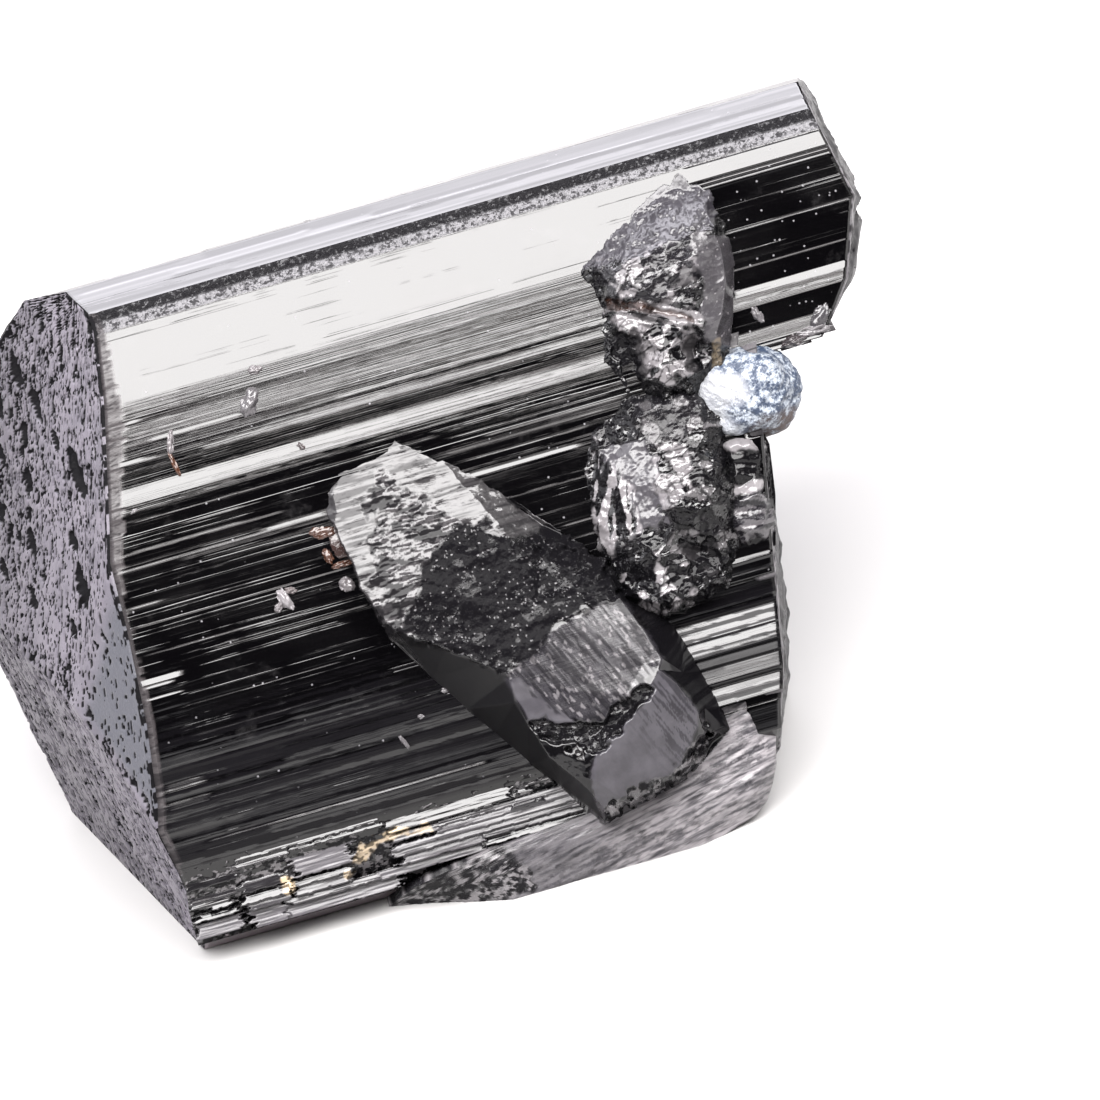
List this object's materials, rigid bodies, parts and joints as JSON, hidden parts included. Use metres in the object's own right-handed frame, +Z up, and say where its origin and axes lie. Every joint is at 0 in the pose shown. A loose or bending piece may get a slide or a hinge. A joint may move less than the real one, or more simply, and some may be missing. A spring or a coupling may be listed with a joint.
{
  "type": "black tourmaline crystal specimen",
  "caption": "Stubby striated black tourmaline prism lying on a long face, with a side crystal, broken crystal stubs, a pitted pyramid end and a pale feldspar grain.",
  "frame": {"origin": "on the resting face, in the middle of the footprint", "axes": "+X along the crystal's long axis from the pyramid end to the ragged end, -Y towards the front face with the side crystal, +Z up"},
  "size_m": [0.0552, 0.0408, 0.0337],
  "materials": {
    "tourmaline": "glassy black striated faces, matte grey pitted pyramid end, sparkling broken surfaces",
    "feldspar": "granular, white with blue-grey specks, slightly translucent looking"
  },
  "bodies": {
    "root": {"tourmaline": "tourmaline", "feldspar_grain": "feldspar"}
  },
  "joints": []
}
